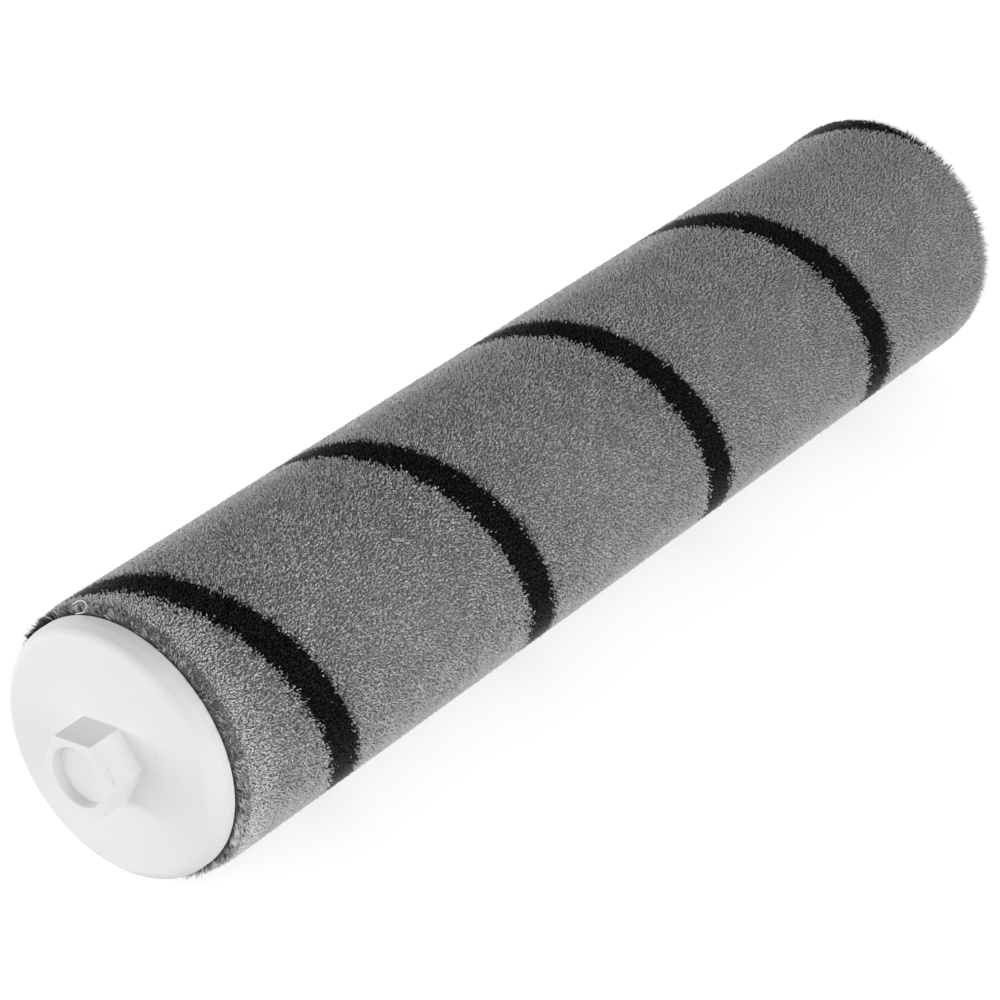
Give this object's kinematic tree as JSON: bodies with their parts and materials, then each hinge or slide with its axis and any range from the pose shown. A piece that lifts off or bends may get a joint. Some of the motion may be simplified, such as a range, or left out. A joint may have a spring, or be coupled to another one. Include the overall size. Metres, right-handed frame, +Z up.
{
  "type": "soft roller brush",
  "caption": "Soft roller brush for a vacuum floor head: grey pile with a black helical stripe, a white end cap with a hollow hex boss, and a toothed drive socket.",
  "frame": {"origin": "on the floor under the middle of the roller, which lies on its side", "axes": "+X along the roller from the hex end to the drive end, +Z up"},
  "size_m": [0.2352, 0.05, 0.0496],
  "materials": {
    "white_plastic": "satin moulded",
    "core_plastic": "extruded",
    "grey_pile": "dense soft pile",
    "black_pile": "dense soft pile",
    "ground_steel": "ground",
    "ball_steel": "polished",
    "cage_nylon": "moulded",
    "shield_steel": "pressed",
    "spring_steel": "oiled black"
  },
  "bodies": {
    "roller": {"core_tube": "core_plastic", "pile_fabric": "grey_pile", "black_stripe": "black_pile", "drive_plug": "white_plastic", "bearing_plug": "white_plastic", "bearing_outer_ring": "ground_steel", "bearing_shield_front": "shield_steel", "bearing_shield_rear": "shield_steel"},
    "cap": {"end_cap": "white_plastic", "axle_pin": "ground_steel", "bearing_inner_ring": "ground_steel", "thrust_washer": "shield_steel", "retaining_clip": "spring_steel"},
    "ball_set": {"bearing_cage": "cage_nylon", "bearing_balls": "ball_steel"}
  },
  "joints": [
    {"name": "cap_spin", "type": "hinge", "parent": "roller", "child": "cap", "pos_m": [-0.1014, 0, 0.0246], "axis": [1, 0, 0], "continuous": true},
    {"name": "ball_set_orbit", "type": "hinge", "parent": "roller", "child": "ball_set", "pos_m": [-0.1014, 0, 0.0246], "axis": [1, 0, 0], "continuous": true}
  ],
  "couplings": [
    {"joint": "ball_set_orbit", "follows": "cap_spin", "ratio": 0.36}
  ]
}
